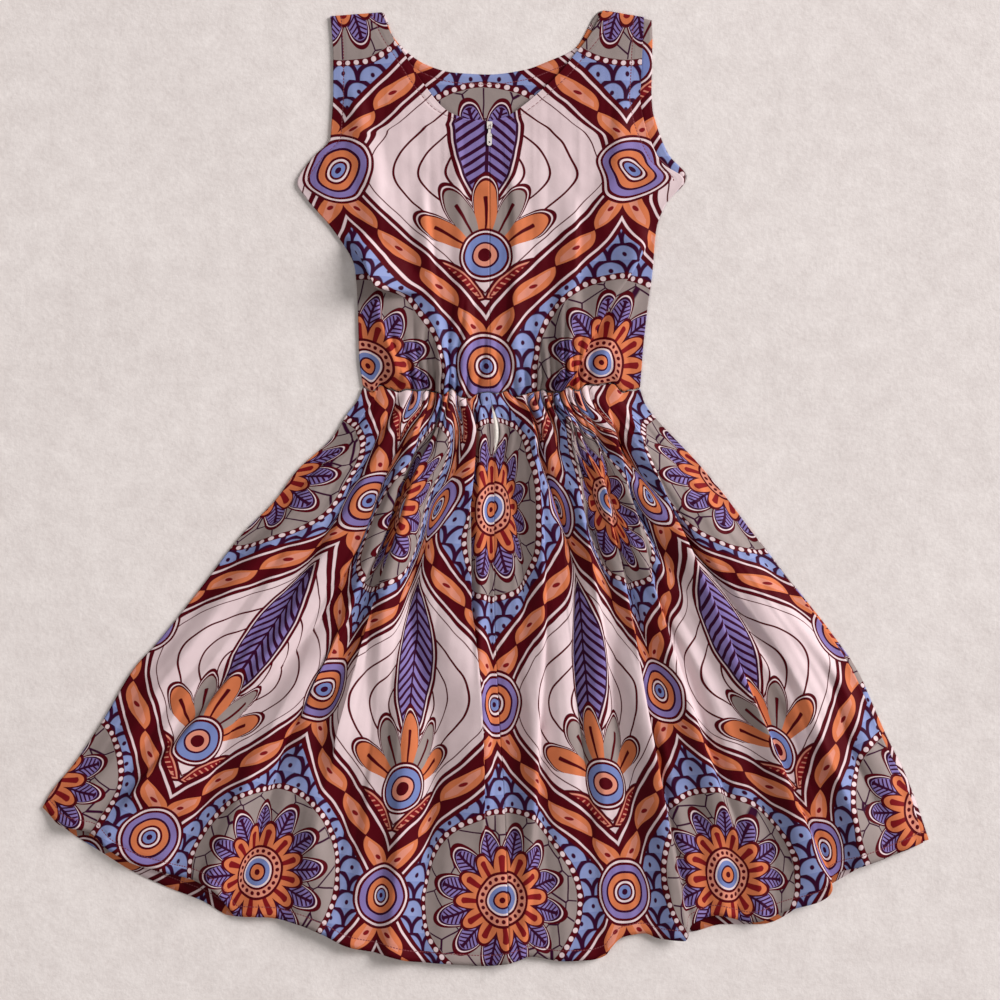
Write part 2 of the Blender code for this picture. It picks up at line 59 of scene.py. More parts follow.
# Light: a broad low window light from the upper right, a weak one from the left that opens the
# shadows, and a dim even room light.
bpy.context.scene.view_settings.view_transform = "Standard"
for name, place, size, power, tint in (
    ("window_light", (10.9, 5.3, 6.2), 7.2, 2700.0, (1.0, 0.972, 0.98)),
    ("room_light", (-3.2, -1.4, 4.2), 3.0, 60.0, (1.0, 0.94, 0.88)),
):
    lamp = bpy.data.lights.new(name, "AREA")
    lamp.size = size
    lamp.energy = power
    lamp.color = tint
    light = bpy.data.objects.new(name, lamp)
    light.location = place
    light.rotation_euler = (-Vector(place)).to_track_quat("-Z", "Y").to_euler()
    bpy.context.scene.collection.objects.link(light)
world = bpy.data.worlds.new("room")
world.use_nodes = True
world.node_tree.nodes["Background"].inputs["Color"].default_value = (0.97, 0.96, 0.98, 1.0)
world.node_tree.nodes["Background"].inputs["Strength"].default_value = 0.22
bpy.context.scene.world = world


class Wire:
    """A socket in a material, with Python's arithmetic on the values that it carries."""

    def __init__(self, tree, socket=None):
        self.tree, self.socket = tree, socket

    def node(self, kind, settings=(), inputs=(), output=0):
        """A new node of that kind, with its settings and the values or links of its sockets."""
        made = self.tree.nodes.new(kind)
        for key, value in dict(settings).items():
            if key == "stops":
                ramp = made.color_ramp
                ramp.interpolation = "CONSTANT"
                while len(ramp.elements) < len(value):
                    ramp.elements.new(1.0)
                for element, (position, colour) in zip(ramp.elements, value):
                    element.position, element.color = position, colour
            else:
                setattr(made, key, value)
        for key, value in dict(inputs).items():
            if isinstance(value, Wire):
                self.tree.links.new(value.socket, made.inputs[key])
            else:
                made.inputs[key].default_value = value
        return Wire(self.tree, made.outputs[output])

    def math(self, operation, *values, clamp=False):
        settings = {"operation": operation, "use_clamp": clamp}
        return self.node("ShaderNodeMath", settings, dict(enumerate(values)))

    def __add__(self, other):
        return self.math("ADD", self, other)

    def __sub__(self, other):
        return self.math("SUBTRACT", self, other)

    def __rsub__(self, other):
        return self.math("SUBTRACT", other, self)

    def __mul__(self, other):
        return self.math("MULTIPLY", self, other)

    def __truediv__(self, other):
        return self.math("DIVIDE", self, other)

    def __abs__(self):
        return self.math("ABSOLUTE", self)

    __radd__, __rmul__ = __add__, __mul__

    def scaled(self, factor, plus=0.0, clamp=False):
        return self.math("MULTIPLY_ADD", self, factor, plus, clamp=clamp)

    def part(self, length=1.0):
        """Where in a repeat of that length the value lies, from half a length below 0 to half above."""
        return (self.math("FRACT", self.scaled(1 / length, 0.5)) - 0.5) * length

    def below(self, limit, blur=0.0005):
        """1 where the value is under the limit, with a soft edge of that width."""
        return self.scaled(-1 / blur, limit / blur + 0.5, clamp=True)

    def split(self):
        """The first two components of the vector that this wire carries."""
        return [self.node("ShaderNodeSeparateXYZ", inputs={0: self}, output=k) for k in (0, 1)]

    def smaller(self, other):
        return self.math("MINIMUM", self, other)

    def larger(self, other):
        return self.math("MAXIMUM", self, other)

    def mix(self, under, over):
        """The colour over where this mask is 1, and the colour under where it is 0."""
        return self.node("ShaderNodeMix", {"data_type": "RGBA"}, {0: self, 6: under, 7: over}, 2)

    def noise(self, scale, detail=2.0, output=0, roughness=0.5):
        """Random lumps, that many to a metre, at the place that this vector gives."""
        inputs = {"Vector": self, "Scale": scale, "Detail": detail, "Roughness": roughness}
        return self.node("ShaderNodeTexNoise", {}, inputs, output)

    def bump(self, distance, strength=1.0, under=None):
        """A surface normal that follows this height, in lengths of that distance."""
        inputs = {"Height": self, "Distance": distance, "Strength": strength}
        if under is not None:
            inputs["Normal"] = under
        return self.node("ShaderNodeBump", {}, inputs)


def finish_named(name, roughness, metallic=0.0, sheen=0.0, specular=0.5):
    """A new material, and a wire to build its nodes from."""
    made = bpy.data.materials.new(name)
    made.use_nodes = True
    shader = made.node_tree.nodes["Principled BSDF"]
    shader.inputs["Roughness"].default_value = roughness
    shader.inputs["Metallic"].default_value = metallic
    shader.inputs["Sheen Weight"].default_value = sheen
    shader.inputs["Specular IOR Level"].default_value = specular
    return made, shader, Wire(made.node_tree)


def feed(shader, **wires):
    """Links wires to the shader's sockets, whose names have spaces for underlines."""
    for name, wire in wires.items():
        wire.tree.links.new(wire.socket, shader.inputs[name.replace("_", " ")])


def screen(r, g, b):
    """The linear colour of one given as on a screen, 0 to 255."""
    return (*(((c / 255 + 0.055) / 1.055) ** 2.4 if c > 10 else c / 3294.6 for c in (r, g, b)), 1.0)


# Floor: a plain pale cream rug with a short soft pile, flat under the dress.
FLOOR_SIZE = 9.0
bm = bmesh.new()
bmesh.ops.create_grid(bm, x_segments=1, y_segments=1, size=FLOOR_SIZE / 2)
mesh = bpy.data.meshes.new("floor")
bm.to_mesh(mesh)
bm.free()
floor = bpy.data.objects.new("floor", mesh)
floor.location.z = -0.1 * MM
bpy.context.scene.collection.objects.link(floor)
rug, rug_shader, wire = finish_named("pale_rug", 0.95)
place = wire.node("ShaderNodeTexCoord", output=3)
patches = place.noise(6.0, 3.0)
tufts = place.noise(42.0, 4.0, roughness=0.6)
pile = place.noise(190.0, 4.0, roughness=0.7)
tone = (patches.scaled(0.5, -0.8) + tufts.scaled(1.0) + pile.scaled(1.1)).scaled(1.0, 0.0, clamp=True)
feed(rug_shader, Base_Color=tone.mix(screen(212, 203, 199), screen(239, 232, 228)))
feed(rug_shader, Normal=pile.bump(1.1 * MM, 0.4, under=tufts.bump(2.0 * MM, 0.2)))
floor.data.materials.append(rug)


# Front skirt: one gathered panel of printed cotton that lies on the floor. Only a strip of it
# shows, past the hem and the right side of the back skirt that lies on top.
CLOTH = 1.2 * MM
GAP = 0.3 * MM
SEAM = 0.05 * MM
WAIST_Y = 103 * MM
WAIST_LEFT, WAIST_RIGHT = -133 * MM, 158 * MM
WAIST_WIDTH = WAIST_RIGHT - WAIST_LEFT
FRONT_SKIRT_TOP = 0.95 * MM
FRONT_SKIRT_CUT = (1.16, 0.61)

LEFT_SIDE = np.array([
    # x, y
    (-133, 102), (-138, 91), (-150, 76), (-163, 55), (-203, 17), (-224, -12), (-259, -48),
    (-303, -105), (-351, -165), (-372, -188), (-404, -241), (-435, -288), (-460, -319), (-469, -335),
]) * MM
FRONT_RIGHT_SIDE = np.array([
    # x, y
    (158, 102), (163, 87), (177, 69), (196, 49), (216, 28), (243, -4), (274, -44), (317, -99),
    (358, -151), (387, -193), (403, -229), (418, -263), (435, -297), (448, -330), (461, -369),
]) * MM
FRONT_HEM = np.array([
    # x, y
    (-466, -336), (-440, -360), (-403, -384), (-374, -402), (-335, -420), (-299, -434),
    (-268, -450), (-199, -452), (-115, -484), (-6, -495), (95, -486), (137, -466),
    (211, -466), (245, -458), (284, -458), (353, -419), (422, -382), (461, -369),
]) * MM

WHITE = screen(225, 204, 206)
BURGUNDY = screen(78, 2, 14)
ORANGE = screen(207, 117, 76)
SALMON = screen(214, 138, 116)
BLUE = screen(116, 130, 182)
PALE_BLUE = screen(144, 156, 200)
PLUM = screen(52, 6, 40)
TAUPE = screen(151, 138, 134)
LILAC = screen(132, 116, 172)
RED = screen(122, 20, 26)

# The print's repeat on the flat cloth: an ogee trellis, each cell half a repeat off its neighbour
REPEAT_WIDTH, REPEAT_HEIGHT = 0.30, 0.41


def hypot(a, b):
    """How far a place lies from where both values are 0."""
    return a.math("SQRT", a.math("MULTIPLY_ADD", a, a, b * b))


def turned(x, y, angle):
    """The same place in a frame that is turned by that angle."""
    c, s = math.cos(angle), math.sin(angle)
    return x.math("MULTIPLY_ADD", x, c, y * s), y.math("MULTIPLY_ADD", y, c, x * -s)


def discs(colour, distance, table):
    """Discs over each other, from the smallest to the largest: radius and colour of each."""
    reach = table[-1][0]
    starts = [0.0] + [radius / reach for radius, ink in table[:-1]]
    stops = [(start, ink) for start, (radius, ink) in zip(starts, table)]
    inks = distance.node("ShaderNodeValToRGB", {"stops": stops}, {0: distance * (1 / reach)})
    return distance.below(reach).mix(colour, inks)


def outlined(colour, distance, table):
    """Nested outlines of a shape, from the outermost in: how far outside its edge, and the ink."""
    for offset, ink in table:
        colour = distance.below(offset).mix(colour, ink)
    return colour


def petal_turn(angle, count, turn=0.0):
    """0 along the middle of each of the petals round a centre, and 1 between two of them."""
    turns = angle.scaled(count / (2 * math.pi), turn)
    return abs(turns.math("FRACT", turns).scaled(2.0, -1.0))


def sun_flower(colour, x, y):
    """A round flower: lilac petals with veins, orange ones over them, and beads round its eye."""
    r = hypot(x, y)
    angle = x.math("ARCTAN2", y, x)
    a = petal_turn(angle, 12)
    outer = r + a * a * 0.028 - 0.076
    colour = outlined(colour, outer, ((0.0050, BURGUNDY), (0.0, WHITE), (-0.0018, PLUM), (-0.0048, LILAC)))
    vein = abs((r - a * 0.014).part(0.0056)).below(0.0012, 0.0005) * a.below(0.74, 0.05)
    colour = (vein.larger(a.below(0.10, 0.03)) * outer.below(-0.0055)).mix(colour, PLUM)
    b = petal_turn(angle, 12, 0.5)
    inner = r + b * b * 0.020 - 0.052
    colour = outlined(colour, inner, ((0.0036, BURGUNDY), (0.0, ORANGE)))
    colour = (b.below(0.30, 0.05) * inner.below(-0.0060)).mix(colour, RED)
    count = 20
    spread = angle.scaled(count / (2 * math.pi)).part() * (2 * math.pi * 0.0225 / count)
    eye = (
        (0.0030, BURGUNDY), (0.0076, ORANGE), (0.0096, PLUM), (0.0142, BLUE), (0.0162, WHITE),
        (0.0186, BURGUNDY), (0.0262, SALMON), (0.0290, BURGUNDY),
    )
    colour = discs(colour, r, eye)
    return hypot(r - 0.0225, spread).below(0.0021).mix(colour, BURGUNDY)


def fish_scales(x, y):
    """Rows of overlapping blue scales, with plum edges and a dot in each."""
    wide, high = 0.031, 0.0185
    row = y.scaled(1 / high)
    shift = abs(row.math("FLOOR", row).scaled(0.5).part())
    cx = x.math("MULTIPLY_ADD", x, 1 / wide, shift).part() * 2
    cy = row.math("FRACT", row)
    r = hypot(cx, cy)
    tone = r.scaled(0.5, 0.0, clamp=True)
    colour = tone.mix(PALE_BLUE, BLUE)
    colour = abs(r - 1.0).below(0.145, 0.06).mix(colour, PLUM)
    return hypot(cx, cy - 0.34).below(0.14, 0.05).mix(colour, PLUM)


def plume(colour, x, y):
    """A tall lilac leaf with a herringbone of plum veins."""
    edge = abs(x) + y * y * 4.6 - 0.034
    colour = outlined(colour, edge, ((0.0056, BURGUNDY), (0.0014, WHITE), (-0.0006, PLUM), (-0.0036, LILAC)))
    veins = abs((y + abs(x) * 0.8).part(0.0110)).below(0.0023)
    return (veins.larger(abs(x).below(0.0019)) * edge.below(-0.0036)).mix(colour, PLUM)


def lotus(colour, x, y):
    """A fan of orange and grey petals on a blue eye, over two pairs of red leaves."""
    ax = abs(x)
    for cx, cy, turn, length, wide in (
        (0.040, -0.026, 0.45, 0.042, 0.016),
        (0.027, -0.050, 0.95, 0.028, 0.011),
    ):
        lx, ly = turned(ax - cx, y - cy, turn)
        leaf = abs(ly).math("MULTIPLY_ADD", lx * lx, wide / length**2, abs(ly)) - wide
        colour = outlined(colour, leaf, ((0.0036, BURGUNDY), (0.0004, SALMON), (-0.0014, RED)))
        veins = abs((lx + abs(ly) * 0.9).part(0.0080)).below(0.0011).larger(abs(ly).below(0.0009))
        colour = (veins * leaf.below(-0.0034)).mix(colour, SALMON)
    r = hypot(x, y)
    angle = x.math("ARCTAN2", x, y)
    a = petal_turn(angle, 12, 0.5)
    fan = r + a * a * 0.034 - 0.082 + abs(angle).below(1.3, 0.04).scaled(-1.0, 1.0)
    colour = outlined(colour, fan, ((0.0056, BURGUNDY), (0.0014, WHITE), (-0.0004, BURGUNDY)))
    lobe = angle.scaled(12 / (2 * math.pi), 0.5)
    grey = abs(lobe.math("FLOOR", lobe).scaled(0.5).part()).below(0.25, 0.1)
    colour = fan.below(-0.0036).mix(colour, grey.mix(TAUPE, ORANGE))
    rib = a.below(0.14, 0.05) * fan.below(-0.020)
    colour = rib.mix(colour, BURGUNDY)
    eye = (
        (0.0070, BURGUNDY), (0.0120, SALMON), (0.0140, PLUM), (0.0215, BLUE), (0.0240, BURGUNDY),
        (0.0258, WHITE), (0.0284, BURGUNDY),
    )
    return discs(colour, r, eye)


def wax_print(s, up):
    """The colour of the print at a place on the flat cloth: s across it and up along it, in metres."""
    wide, high = REPEAT_WIDTH, REPEAT_HEIGHT
    x, y = s.part(wide), up.part(high)
    xb, yb = s.scaled(1.0, wide / 2).part(wide), up.scaled(1.0, high / 2).part(high)
    swing = y.scaled(2 * math.pi / high)
    cosine = swing.math("COSINE", swing)
    bend = swing.math("SINE", swing).scaled(wide / 2 * math.pi / high)
    across = abs(x) - cosine.scaled(wide / 4, wide / 4)
    edge = across / bend.math("SQRT", bend.math("MULTIPLY_ADD", bend, bend, 1.0))

    echoes = abs(edge.scaled(1.0, -0.0300).part(0.0270)).below(0.0013) * edge.below(0.030).scaled(-1.0, 1.0)
    open_cell = echoes.mix(WHITE, BURGUNDY)
    open_cell = plume(open_cell, xb, yb - 0.042)
    open_cell = lotus(open_cell, xb, yb + 0.090)

    rim = abs(edge + 0.0580)
    full_cell = edge.below(-0.058).mix(fish_scales(x, y), WHITE)
    full_cell = outlined(full_cell, rim, ((0.0058, BURGUNDY), (0.0022, SALMON)))
    ring = hypot(x, y)
    full_cell = outlined(full_cell, ring - 0.0900, ((0.0068, BURGUNDY), (0.0, TAUPE)))
    beads, bead_ring = 62, 0.0934
    turn = x.math("ARCTAN2", y, x).scaled(beads / (2 * math.pi)).part() * (2 * math.pi * bead_ring / beads)
    full_cell = hypot(ring - bead_ring, turn).below(0.0027).mix(full_cell, WHITE)

    # Hairlines of dye run over the grey ground, where the wax cracked
    cracks = s.node("ShaderNodeCombineXYZ", inputs={0: s, 1: up})
    cracks = cracks.node(
        "ShaderNodeTexVoronoi", {"feature": "DISTANCE_TO_EDGE"}, {"Vector": cracks, "Scale": 30.0}
    ).below(0.022, 0.012)
    full_cell = (cracks * ring.below(0.0895)).mix(full_cell, PLUM)
    full_cell = sun_flower(full_cell, x, y)

    colour = edge.below(0.0).mix(open_cell, full_cell)
    band = abs(edge)
    colour = outlined(colour, band, ((0.0225, BURGUNDY), (0.0178, WHITE), (0.0152, BURGUNDY)))
    bead = y.scaled(1 / 0.041).part()
    pod = band + bead * bead * 0.044 - 0.0104
    colour = pod.below(0.0).mix(colour, ORANGE)
    colour = (pod.below(-0.0036) * band.below(0.0040)).mix(colour, SALMON)
    colour = hypot(band, bead * 0.041).below(0.0026).mix(colour, RED)

    knot = hypot(xb, y).smaller(hypot(x, yb))
    eye = (
        (0.0030, PLUM), (0.0068, BLUE), (0.0090, BURGUNDY), (0.0112, WHITE), (0.0136, BURGUNDY),
        (0.0200, ORANGE), (0.0224, PLUM), (0.0286, LILAC), (0.0312, BURGUNDY), (0.0334, WHITE),
        (0.0362, BURGUNDY),
    )
    return discs(colour, knot, eye)


def print_cloth():
    """Plain-woven cotton, wax printed on both sides, with stitching along its turned edges."""
    made, shader, wire = finish_named("wax_print_cotton", 0.6, specular=0.06)
    cloth = wire.node("ShaderNodeUVMap", {"uv_map": "cloth"})
    wander = cloth.noise(16.0, 2.0, output=1)
    moved = wander.node(
        "ShaderNodeVectorMath", {"operation": "MULTIPLY_ADD"}, {0: wander, 1: (0.009, 0.009, 0.0), 2: cloth}
    )
    colour = wax_print(*moved.split())

    # The dye lies a little unevenly
    place = wire.node("ShaderNodeTexCoord", output=3)
    cloudy = place.noise(30.0, 3.0)
    colour = cloudy.node(
        "ShaderNodeMix", {"data_type": "RGBA", "blend_type": "MULTIPLY"},
        {0: cloudy.scaled(0.8, -0.2, clamp=True), 6: colour, 7: screen(214, 208, 208)}, 2,
    )

    # Stitches along the turned edge: along it, and how far in from it
    stitch_inset, stitch_pitch = 0.0110, 0.0032
    along, inward = wire.node("ShaderNodeUVMap", {"uv_map": "border"}).split()
    row = abs(inward - stitch_inset)
    stitch = row.below(0.0005, 0.0004) * abs(along.part(stitch_pitch)).below(0.0011, 0.0004)
    colour = stitch.mix(colour, screen(120, 60, 66))
    pucker = row.below(0.0022, 0.0030)

    thread_pitch = 0.0011
    weft, warp = cloth.split()
    weave = abs(weft.part(thread_pitch)) + abs(warp.part(thread_pitch))
    roughness = cloudy.scaled(0.30, 0.44)
    fine = place.noise(420.0, 2.0)
    normal = weave.bump(0.5, 0.25)
    normal = (fine * 0.3 - pucker).bump(0.5 * MM, 0.6, under=normal)
    feed(shader, Base_Color=colour, Roughness=roughness, Normal=normal)
    return made


COTTON = print_cloth()


def smoothstep(value):
    t = np.clip(value, 0.0, 1.0)
    return t * t * (3.0 - 2.0 * t)


def chord(points):
    """How far along each point lies, from 0 to 1."""
    steps = np.hypot(*np.diff(points, axis=0).T)
    return np.concatenate([[0.0], np.cumsum(steps)]) / steps.sum()


def smooth_curve(knots, points, t):
    """A curve through the points that keeps to them without swinging past their corners."""
    step = np.diff(knots)[:, None]
    slope = np.diff(points, axis=0) / step
    before, after = slope[:-1], slope[1:]
    w_before, w_after = 2 * step[1:] + step[:-1], step[1:] + 2 * step[:-1]
    turns = before * after <= 0
    safe_before, safe_after = np.where(turns, 1.0, before), np.where(turns, 1.0, after)
    inner = (w_before + w_after) / (w_before / safe_before + w_after / safe_after)
    tangent = np.vstack([slope[:1], np.where(turns, 0.0, inner), slope[-1:]])
    t = np.clip(np.asarray(t, float), 0.0, 1.0)
    at = np.clip(np.searchsorted(knots, t, side="right") - 1, 0, len(step) - 1)
    width = step[at, 0]
    s = ((t - knots[at]) / width)[..., None]
    width = width[..., None]
    return (
        (1 + 2 * s) * (1 - s) ** 2 * points[at]
        + s * (1 - s) ** 2 * width * tangent[at]
        + s * s * (3 - 2 * s) * points[at + 1]
        + s * s * (s - 1) * width * tangent[at + 1]
    )


def along(points):
    """A function that runs along the points as its value goes from 0 to 1."""
    return lambda t: smooth_curve(chord(points), points, np.atleast_1d(t))


def coons(first, second, top, bottom, u, v):
    """Points between four edges: first at u 0, second at u 1, top at v 0 and bottom at v 1."""
    u, v = u[:, None], v[:, None]
    corners = (
        (1 - u) * (1 - v) * top(0.0) + u * (1 - v) * top(1.0)
        + (1 - u) * v * bottom(0.0) + u * v * bottom(1.0)
    )
    across = (1 - u) * first(v[:, 0]) + u * second(v[:, 0])
    down = (1 - v) * top(u[:, 0]) + v * bottom(u[:, 0])
    return across + down - corners


def lumps(a, b, seed):
    """Smooth random heights from -1 to 1, one lump to each unit of a and b."""
    lattice = np.random.default_rng(seed).uniform(-1.0, 1.0, (97, 97))
    i, j = np.floor(a).astype(int), np.floor(b).astype(int)
    fa, fb = smoothstep(a - i), smoothstep(b - j)
    low = lattice[i % 97, j % 97] * (1 - fa) + lattice[(i + 1) % 97, j % 97] * fa
    high = lattice[i % 97, (j + 1) % 97] * (1 - fa) + lattice[(i + 1) % 97, (j + 1) % 97] * fa
    return low * (1 - fb) + high * fb


# Passes that level the dips under the folds, and that even the print from row to row
LEVEL_PASSES, EVEN_PASSES = 60, 260


def cloth_width(points, cut_width):
    """How far across the flat cloth each point of each row lies, from its first column.

    What the row doesn't show of the cut width is taken up where the cloth dips under its folds.
    """
    arc = np.linalg.norm(np.diff(points, axis=1), axis=2)
    height = points[..., 2]
    even = height.copy()
    for _ in range(LEVEL_PASSES):
        even[:, 1:-1] = (even[:, :-2] + 2 * even[:, 1:-1] + even[:, 2:]) / 4
    dip = np.maximum(even - height, 0.0) ** 1.5 + (0.15 * MM) ** 1.5
    dip = (dip[:, 1:] + dip[:, :-1]) * arc
    spare = np.maximum(cut_width - arc.sum(axis=1), 0.0)[:, None]
    steps = arc + spare * dip / dip.sum(axis=1)[:, None]
    for _ in range(EVEN_PASSES):
        steps[1:-1] = (steps[:-2] + 2 * steps[1:-1] + steps[2:]) / 4
    return np.concatenate([np.zeros((len(points), 1)), np.cumsum(steps, axis=1)], axis=1)


def cloth_piece(name, columns, rows, place, thickness, row_power=1.0):
    """A cut piece of cloth: a grid whose corners a function of u and v places, with its wall below.

    The function gives points, places on the flat cloth and places on the stitched border, each
    as rows of columns.
    """
    bm = bmesh.new()
    bmesh.ops.create_grid(bm, x_segments=columns, y_segments=rows, size=1.0)
    flat = np.array([v.co[:2] for v in bm.verts]) * 0.5 + 0.5
    order = np.lexsort((flat[:, 0].round(6), flat[:, 1].round(6)))
    u = flat[order, 0]
    v = np.clip(flat[order, 1], 0.0, 1.0) ** row_power
    points, cloth, border = place(u, v, (rows + 1, columns + 1))
    spot = np.empty(len(order), int)
    spot[order] = np.arange(len(order))
    points = points.reshape(-1, 3)[spot]
    for vert, point in zip(bm.verts, points):
        vert.co = point
    bm.normal_update()
    if sum(face.normal.z for face in bm.faces) < 0:
        bmesh.ops.reverse_faces(bm, faces=bm.faces)
    mesh = bpy.data.meshes.new(name)
    bm.to_mesh(mesh)
    bm.free()
    corner = np.empty(len(mesh.loops), np.int32)
    mesh.loops.foreach_get("vertex_index", corner)
    for layer, places in (("cloth", cloth), ("border", border)):
        made = mesh.uv_layers.new(name=layer)
        made.uv.foreach_set("vector", places.reshape(-1, 2)[spot][corner].astype(np.float32).ravel())
    piece = bpy.data.objects.new(name, mesh)
    bpy.context.scene.collection.objects.link(piece)
    mesh.materials.append(COTTON)
    wall = piece.modifiers.new("cloth", "SOLIDIFY")
    wall.thickness = thickness
    wall.offset = -1.0
    wall.use_rim = True
    mesh.shade_smooth()
    mesh.set_sharp_from_angle(angle=math.radians(60))
    return piece


def skirt_front_place(u, v, shape):
    waist = np.array([LEFT_SIDE[0], FRONT_RIGHT_SIDE[0]])
    flat = coons(along(LEFT_SIDE), along(FRONT_RIGHT_SIDE), along(waist), along(FRONT_HEM), u, v)
    x, y = flat[:, 0], np.minimum(flat[:, 1], WAIST_Y - SEAM)
    z = np.full_like(x, FRONT_SKIRT_TOP) + 0.12 * MM * lumps(u * 30, v * 3, 3)
    points = np.stack([x, y, z], axis=1).reshape(*shape, 3)
    down = v.reshape(shape) * FRONT_SKIRT_CUT[1]
    across = cloth_width(points, FRONT_SKIRT_CUT[0]) - FRONT_SKIRT_CUT[0] / 2
    cloth = np.stack([across + 0.05, 0.33 - down], axis=2)
    border = np.stack([across, FRONT_SKIRT_CUT[1] - down], axis=2)
    return points, cloth, border


skirt_front = cloth_piece("front_skirt_panel", 120, 60, skirt_front_place, 0.7 * MM)
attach(skirt_front, "dress")
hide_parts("skirt_front")


# Back skirt: two panels of the same cotton, sewn together down the centre back and gathered into
# the waist seam. They fan out over the front skirt in long folds that lie over each other.
BACK_Z = CLOTH + GAP
TAPE_LOFT = 0.8 * MM + GAP + 0.5 * MM
TAPE_REACH, TAPE_FADE = 16 * MM, 14 * MM
WAIST_LOFT, SKIRT_LOFT, LOFT_FADE = 1.6 * MM, 4.5 * MM, 34 * MM
HEM_LOFT_SHARE, LOFT_FULL_AT, LOFT_FALLS_FROM = 0.45, 0.10, 0.25
SEAM_SINK, SEAM_SINK_REACH, SEAM_WAVE, SEAM_WAVE_REACH = 0.25 * MM, 3.0 * MM, 4.6 * MM, 18 * MM
SEAM_STILL, SEAM_LENGTH = 12 * MM, 601 * MM
PART_TOP, PART_END, PART_WIDTH = 97 * MM, 26 * MM, 5.5 * MM
LEAN = 1.25
TOP_WIDTH = 0.6
FOLD_FULLNESS, HEM_SETTLE, SETTLE_FROM = 1.35, 0.6, 0.62
GATHERS = 26
CROWDS, CROWD_WIDTH, CROWD_REACH = (0.27, 0.70), 0.085, 0.13
SLACK_BELOW, SLACK_ABOVE = 340 * MM, 120 * MM
GATHER_AT_SEAM = 4.6 * MM
SKIRT_GATHER, SKIRT_GATHER_PEAK, SKIRT_GATHER_LENGTH = 6.0 * MM, 11 * MM, 80 * MM
BODICE_GATHER, BODICE_GATHER_PEAK, BODICE_GATHER_LENGTH = 6.0 * MM, 12 * MM, 66 * MM
SKIRT_LENGTH = 580 * MM
FLUTES = 15
FLUTE_TOP, FLUTE_MID, FLUTE_HEM, FLUTE_START = 6.5 * MM, 11.5 * MM, 5.0 * MM, 28 * MM
FLUTE_LEAN = 1.2
PRESSED, PRESSED_HEIGHT, PRESSED_FROM = 21, 5.6 * MM, 50 * MM
BACK_SKIRT_CUT = (0.58, 0.61)

RIGHT_SIDE = np.array([
    # x, y
    (158, 102), (163, 88), (177, 70), (196, 50), (216, 29), (243, -3), (273, -43), (315, -98),
    (354, -150), (381, -192), (398, -229), (413, -264), (430, -298), (444, -330), (455, -372),
]) * MM
CENTRE_SEAM = np.array([
    # x, y
    (0, 102), (3, 80), (5, 50), (5, 0), (5, -118), (9, -220), (16, -340), (21, -498),
]) * MM
LEFT_HEM = np.array([
    # x, y
    (-469, -335), (-450, -353), (-418, -362), (-403, -376), (-374, -394), (-342, -403),
    (-314, -410), (-292, -421), (-277, -437), (-266, -449), (-234, -450), (-201, -457),
    (-177, -467), (-150, -480), (-109, -489), (-81, -496), (-41, -499), (-6, -501), (21, -498),
]) * MM
RIGHT_HEM = np.array([
    # x, y
    (21, -498), (43, -491), (74, -496), (104, -495), (121, -490), (128, -481), (139, -471),
    (163, -467), (177, -472), (200, -474), (208, -460), (238, -448), (275, -455), (311, -443),
    (340, -434), (350, -426), (358, -408), (393, -395), (420, -386), (455, -372),
]) * MM

# Folds: a crest runs through three points; it rises over left and drops over right, or the other
# way round, and the steep side lies over its neighbour. Heights are at its top and low ends,
# and fade_top and fade_low say over what length it dies away there, 0 where it runs off the hem.
FOLD_COLUMNS = (
    "top_x", "top_y", "mid_x", "mid_y", "low_x", "low_y",
    "left", "right", "top_h", "low_h", "fade_top", "fade_low",
)
SKIRT_FOLDS = np.array([
    (-27, 77, -30, -76, -14, -380, 46, 12, 9, 11, 40, 110),
    (-56, 50, -97, -69, -158, -286, 13, 40, 9, 12, 50, 80),
    (-72, 78, -118, -34, -186, -223, 14, 30, 8, 9, 40, 60),
    (-92, 84, -170, -66, -251, -212, 16, 34, 6, 8, 40, 60),
    (-236, -150, -298, -238, -372, -330, 16, 46, 6, 10, 60, 30),
    (-150, 50, -251, -76, -340, -190, 20, 26, 4, 5, 50, 60),
    (-252, -262, -281, -359, -308, -440, 34, 30, 5, 14, 60, 0),
    (-196, -220, -186, -359, -173, -469, 34, 26, 4, 8, 60, 0),
    (-54, -150, -84, -317, -99, -492, 28, 34, 4, 10, 70, 0),
    (-9, 88, -12, -118, -6, -330, 15, 14, 5, 5, 30, 90),
    (33, 92, 46, -181, 30, -490, 26, 12, 8, 9, 30, 0),
    (78, 80, 96, -55, 116, -200, 24, 13, 8, 10, 40, 70),
    (104, 60, 152, -212, 205, -476, 30, 12, 7, 14, 60, 0),
    (120, 78, 168, -118, 252, -364, 34, 13, 8, 9, 40, 60),
    (146, 70, 240, -160, 355, -428, 36, 13, 7, 14, 50, 0),
    (206, 18, 304, -112, 379, -218, 15, 15, 6, 8, 50, 50),
    (262, -150, 332, -250, 402, -392, 30, 30, 4, 7, 70, 0),
]) * MM


